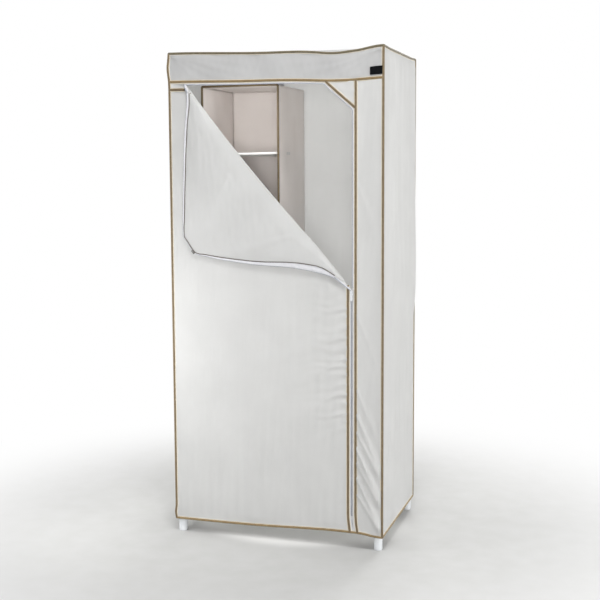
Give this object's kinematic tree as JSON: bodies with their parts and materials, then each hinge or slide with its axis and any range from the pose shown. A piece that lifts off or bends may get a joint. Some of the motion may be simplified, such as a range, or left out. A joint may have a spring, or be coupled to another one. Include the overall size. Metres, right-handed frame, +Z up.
{
  "type": "portable fabric wardrobe",
  "caption": "Free-standing tube-frame wardrobe under a piped cloth cover, its zipped door flap folded open, with a hanging rail and a cloth shelf unit inside.",
  "frame": {"origin": "on the floor, at the middle of the overall footprint, the folded flap included", "axes": "+Z up, -Y out of the front with the zipped door, +X to the right seen from the front"},
  "size_m": [0.72, 0.5022, 1.6],
  "materials": {
    "joint_plastic": "moulded white plastic",
    "frame_tube": "white powder coat on thin steel tube",
    "cover_cloth": "off-white non-woven cloth with fine bond points",
    "shelf_cloth": "off-white non-woven cloth, slightly warm",
    "piping": "khaki brown round piping",
    "zip_tape": "white woven zip tape with a grey coil",
    "zip_metal": "pale enamelled die casting"
  },
  "bodies": {
    "frame_and_cover": {"foot_joint_front_left": "joint_plastic", "lower_post_front_left": "frame_tube", "coupler_front_left": "joint_plastic", "upper_post_front_left": "frame_tube", "top_joint_front_left": "joint_plastic", "foot_joint_front_right": "joint_plastic", "lower_post_front_right": "frame_tube", "coupler_front_right": "joint_plastic", "upper_post_front_right": "frame_tube", "top_joint_front_right": "joint_plastic", "foot_joint_back_left": "joint_plastic", "lower_post_back_left": "frame_tube", "coupler_back_left": "joint_plastic", "upper_post_back_left": "frame_tube", "top_joint_back_left": "joint_plastic", "foot_joint_back_right": "joint_plastic", "lower_post_back_right": "frame_tube", "coupler_back_right": "joint_plastic", "upper_post_back_right": "frame_tube", "top_joint_back_right": "joint_plastic", "top_rail_front": "frame_tube", "top_rail_back": "frame_tube", "top_rail_left_front": "frame_tube", "top_rail_left_back": "frame_tube", "top_rail_right_front": "frame_tube", "top_rail_right_back": "frame_tube", "bottom_rail_front": "frame_tube", "bottom_rail_back": "frame_tube", "bottom_rail_left": "frame_tube", "bottom_rail_right": "frame_tube", "rail_tee_left": "joint_plastic", "rail_tee_right": "joint_plastic", "hanging_rail": "frame_tube", "cover_top": "cover_cloth", "cover_back": "cover_cloth", "cover_left_side": "cover_cloth", "cover_right_side": "cover_cloth", "cover_valance": "cover_cloth", "cover_jamb": "cover_cloth", "cover_gusset": "cover_cloth", "cover_door": "cover_cloth", "zip_tape_jamb": "zip_tape", "zip_tape_door": "zip_tape", "piping_cover": "piping", "piping_door": "piping", "piping_jamb": "piping"},
    "flap": {"door_flap": "cover_cloth", "zip_tape_flap": "zip_tape", "piping_flap": "piping"},
    "slider": {"zip_slider": "zip_metal"},
    "puller": {"zip_puller": "zip_metal"},
    "shelf_unit": {"shelf_unit_case": "shelf_cloth", "shelf_1": "shelf_cloth", "shelf_2": "shelf_cloth", "shelf_3": "shelf_cloth", "shelf_4": "shelf_cloth", "shelf_5": "shelf_cloth", "shelf_6": "shelf_cloth"}
  },
  "joints": [
    {"name": "flap_fold", "type": "hinge", "parent": "frame_and_cover", "child": "flap", "pos_m": [-0.00271, -0.23419, 1.1742], "axis": [-0.6515, 0, 0.7587], "range_deg": [0, 180]},
    {"name": "zip_travel", "type": "slide", "parent": "frame_and_cover", "child": "slider", "axis": [0, 0, 1], "range_m": [-0.724, 0]},
    {"name": "puller_swing", "type": "hinge", "parent": "slider", "child": "puller", "pos_m": [0.2575, -0.23099, 0.833], "axis": [-1, 0, 0], "range_deg": [0, 170]},
    {"name": "shelf_unit_slide", "type": "slide", "parent": "frame_and_cover", "child": "shelf_unit", "axis": [1, 0, 0], "range_m": [-0.042, 0.342]}
  ]
}
